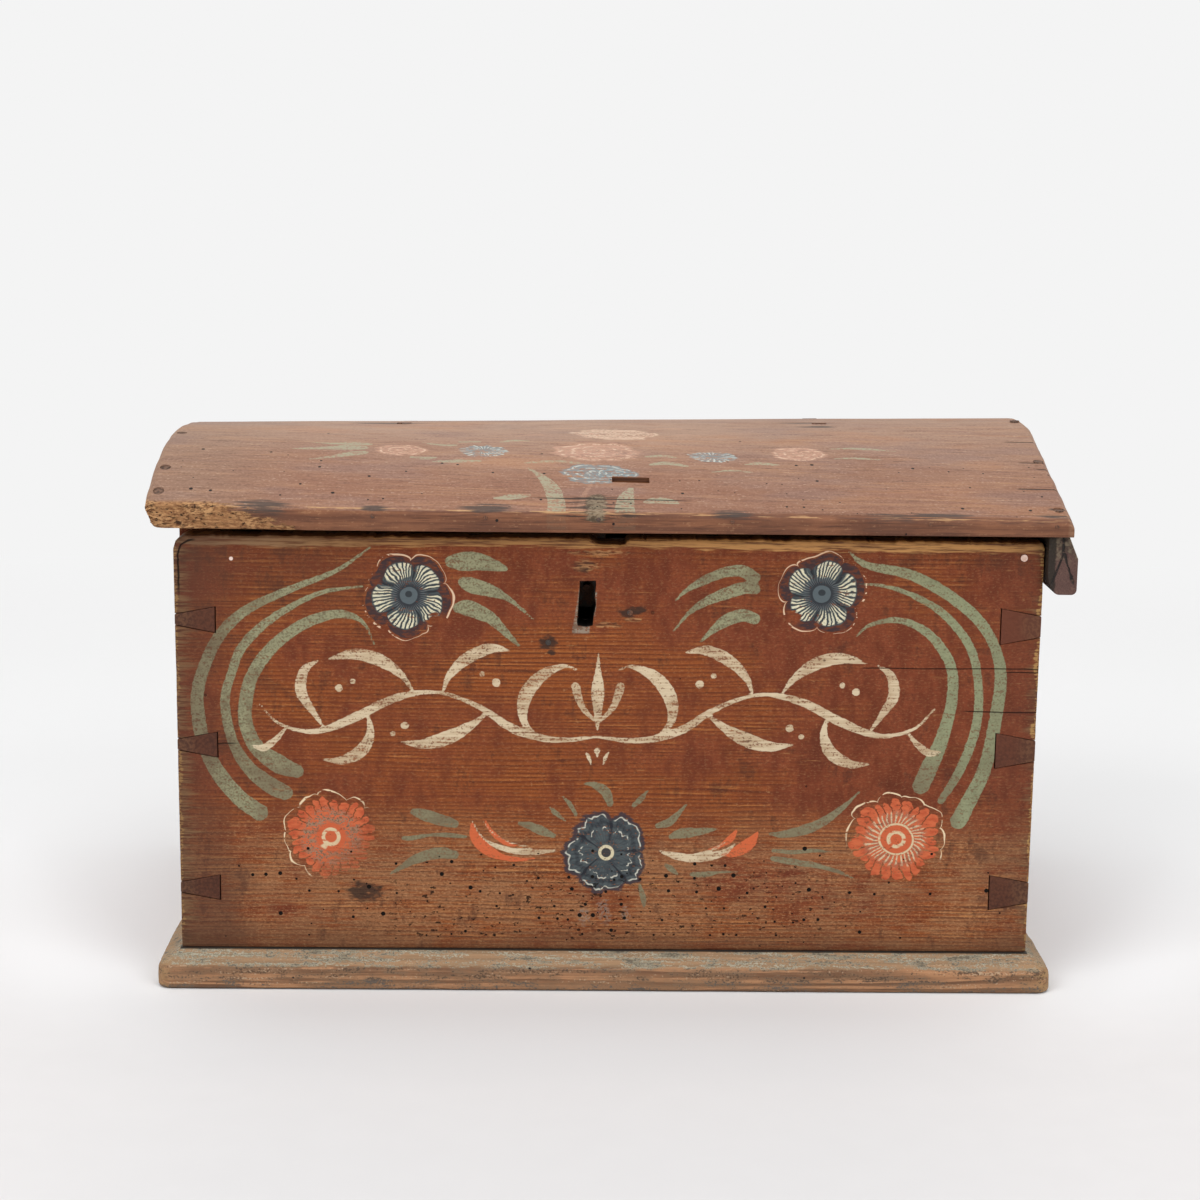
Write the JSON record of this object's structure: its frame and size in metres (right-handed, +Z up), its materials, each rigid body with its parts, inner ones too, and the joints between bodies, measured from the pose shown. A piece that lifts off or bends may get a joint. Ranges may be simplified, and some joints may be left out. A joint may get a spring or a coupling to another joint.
{
  "type": "painted wooden box",
  "caption": "Dovetailed wooden box with a hinged domed lid, a coin slot, a nailed plinth board, strap hinges and an iron key lock.",
  "frame": {"origin": "on the floor, under the middle of the body's outside width and depth", "axes": "+X to the right along the front, -Y out of the front, +Z up; the bottom board's underside rests on Z = 0"},
  "size_m": [0.532, 0.314, 0.3213],
  "materials": {
    "painted_wood": "thin worn red-brown paint over pine, painted flowers on the front",
    "lid_wood": "chalky worn paint with painted flowers, raw at the broken edge",
    "plinth_wood": "worn bare wood with remains of grey-green paint",
    "bare_wood": "bare aged wood",
    "wrought_iron": "dark hammered iron with rust",
    "iron_nails": "rusty forged nails"
  },
  "bodies": {
    "box": {"bottom_board": "plinth_wood", "bottom_nails": "iron_nails", "front_board": "painted_wood", "back_board": "painted_wood", "left_side_board": "painted_wood", "right_side_board": "painted_wood", "corner_peg": "bare_wood", "leaf_nails": "iron_nails", "lock_plate": "wrought_iron", "lock_nails": "iron_nails", "bolt_guides": "wrought_iron", "bolt_spring": "wrought_iron", "key_cover": "wrought_iron", "key_pin": "wrought_iron", "left_body_leaf": "wrought_iron", "right_body_leaf": "wrought_iron", "left_hinge_pin": "wrought_iron", "right_hinge_pin": "wrought_iron"},
    "lid": {"lid": "lid_wood", "lip_nails": "iron_nails", "right_lid_cleat": "painted_wood", "cleat_pegs": "bare_wood", "left_peg_stubs": "bare_wood", "strap_nails": "iron_nails", "lid_staple": "wrought_iron", "left_lid_strap": "wrought_iron", "right_lid_strap": "wrought_iron"},
    "bolt": {"lock_bolt": "wrought_iron"}
  },
  "joints": [
    {"name": "lid_hinge", "type": "hinge", "parent": "box", "child": "lid", "pos_m": [0, 0.14845, 0.26665], "axis": [-1, 0, 0], "range_deg": [0, 140]},
    {"name": "bolt_slide", "type": "slide", "parent": "box", "child": "bolt", "axis": [-1, 0, 0], "range_m": [0, 0.012]}
  ]
}
